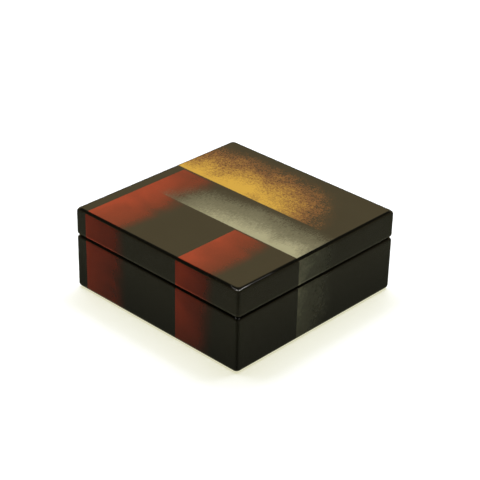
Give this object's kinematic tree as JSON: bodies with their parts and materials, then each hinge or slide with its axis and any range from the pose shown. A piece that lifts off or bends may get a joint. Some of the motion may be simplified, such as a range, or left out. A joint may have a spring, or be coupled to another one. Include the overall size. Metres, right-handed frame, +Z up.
{
  "type": "lacquer box",
  "caption": "Square lacquered wooden trinket box with mitred walls and a lift-off lid that slides over a lip inside the base.",
  "frame": {"origin": "middle of the underside, on the surface that the box stands on", "axes": "+Z up, the way the lid lifts; -Y the front wall, +X the right wall"},
  "size_m": [0.12, 0.12, 0.0485],
  "materials": {
    "black_lacquer": "black lacquer over wood, polished to a high gloss",
    "decorated_lacquer": "black lacquer with rubbed red, gold and silver bands under a clear gloss coat",
    "lip_lacquer": "thin black lacquer, semi-gloss, rubbed at the nose",
    "bare_wood": "bare hardwood",
    "red_velvet": "short-pile velvet",
    "black_felt": "pressed felt"
  },
  "bodies": {
    "base": {"base_floor_board": "black_lacquer", "base_felt": "black_felt", "base_lining": "red_velvet", "base_wall_front": "decorated_lacquer", "base_wall_right": "decorated_lacquer", "base_wall_back": "decorated_lacquer", "base_wall_left": "decorated_lacquer", "base_spline_front_right": "bare_wood", "base_spline_back_right": "bare_wood", "base_spline_back_left": "bare_wood", "base_spline_front_left": "bare_wood", "base_lip_front": "lip_lacquer", "base_lip_right": "lip_lacquer", "base_lip_back": "lip_lacquer", "base_lip_left": "lip_lacquer"},
    "lid": {"lid_top_board": "decorated_lacquer", "lid_wall_front": "decorated_lacquer", "lid_wall_right": "decorated_lacquer", "lid_wall_back": "decorated_lacquer", "lid_wall_left": "decorated_lacquer", "lid_spline_front_right": "bare_wood", "lid_spline_back_right": "bare_wood", "lid_spline_back_left": "bare_wood", "lid_spline_front_left": "bare_wood"}
  },
  "joints": [
    {"name": "lid_lift", "type": "slide", "parent": "base", "child": "lid", "axis": [0, 0, 1], "range_m": [0, 0.06]}
  ]
}
